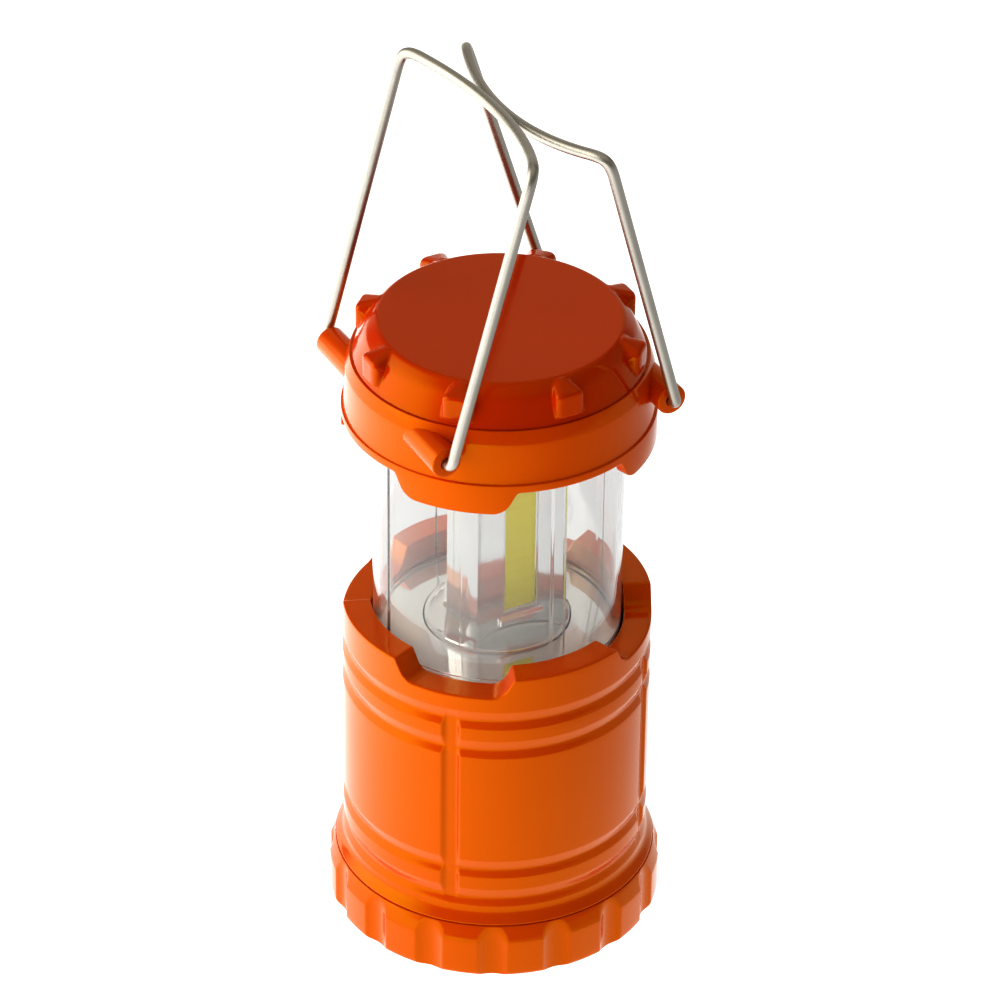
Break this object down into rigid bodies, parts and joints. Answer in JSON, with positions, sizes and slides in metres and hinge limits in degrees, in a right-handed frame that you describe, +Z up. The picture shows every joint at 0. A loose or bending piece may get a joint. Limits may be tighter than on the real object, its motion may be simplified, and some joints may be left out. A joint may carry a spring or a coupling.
{
  "type": "camping lantern",
  "caption": "Pop-up camping lantern whose lamp head slides into a round battery housing, with folding wire bails and a screw-off base.",
  "frame": {"origin": "centre of the underside of the base cap, which the lantern stands on", "axes": "+Z up along the lantern's axis, +X and -X along the hinge axes of the two wire bails"},
  "size_m": [0.0656, 0.0656, 0.1791],
  "materials": {
    "housing_plastic": "glossy moulded ABS, orange",
    "head_plastic": "glossy moulded ABS, orange",
    "dark_plastic": "satin black ABS",
    "seal_rubber": "soft black rubber",
    "pad_foam": "closed-cell foam",
    "cell_jacket": "plain printed steel jacket",
    "contact_metal": "nickel-plated strip",
    "screw_steel": "zinc-plated steel",
    "wire_steel": "nickel-plated round wire",
    "clear_lens": "clear polystyrene",
    "mirror_plating": "vacuum-plated plastic",
    "light_strip": "yellow phosphor",
    "circuit_board": "green board with small parts"
  },
  "bodies": {
    "base": {"base_cap": "housing_plastic", "battery_pad": "pad_foam"},
    "seal": {"base_seal": "seal_rubber"},
    "battery_housing": {"housing": "housing_plastic", "battery_tray": "dark_plastic", "tray_screws": "screw_steel", "battery_1": "cell_jacket", "battery_2": "cell_jacket", "battery_3": "cell_jacket", "contact_springs": "contact_metal", "cell_link_a": "contact_metal", "cell_link_b": "contact_metal", "rail_positive": "contact_metal", "rail_negative": "contact_metal"},
    "lamp_head": {"slider_base": "dark_plastic", "slider_screws": "screw_steel", "wiper_positive": "contact_metal", "wiper_negative": "contact_metal", "led_board": "circuit_board", "lens": "clear_lens", "reflector_disc": "mirror_plating", "reflector_column": "mirror_plating", "cob_strip_1": "light_strip", "cob_strip_2": "light_strip", "cob_strip_3": "light_strip", "head_ring": "head_plastic", "head_screws": "screw_steel", "top_cap": "head_plastic"},
    "front_bail": {"bail_front": "wire_steel"},
    "back_bail": {"bail_back": "wire_steel"}
  },
  "joints": [
    {"name": "base_thread_lift", "type": "slide", "parent": "base", "child": "seal", "axis": [0, 0, 1], "range_m": [0, 0.004]},
    {"name": "base_unscrew", "type": "hinge", "parent": "seal", "child": "battery_housing", "pos_m": [0, 0, 0], "axis": [0, 0, 1], "range_deg": [0, 360]},
    {"name": "lift", "type": "slide", "parent": "battery_housing", "child": "lamp_head", "axis": [0, 0, 1], "range_m": [-0.0415, 0]},
    {"name": "bail_front_swing", "type": "hinge", "parent": "lamp_head", "child": "front_bail", "pos_m": [0, -0.0237, 0.1195], "axis": [1, 0, 0], "range_deg": [0, 193.6]},
    {"name": "bail_back_swing", "type": "hinge", "parent": "lamp_head", "child": "back_bail", "pos_m": [0, 0.0237, 0.1195], "axis": [-1, 0, 0], "range_deg": [0, 193.6]}
  ],
  "couplings": [
    {"joint": "base_thread_lift", "follows": "base_unscrew", "m_per_rad": 0.00063656}
  ]
}
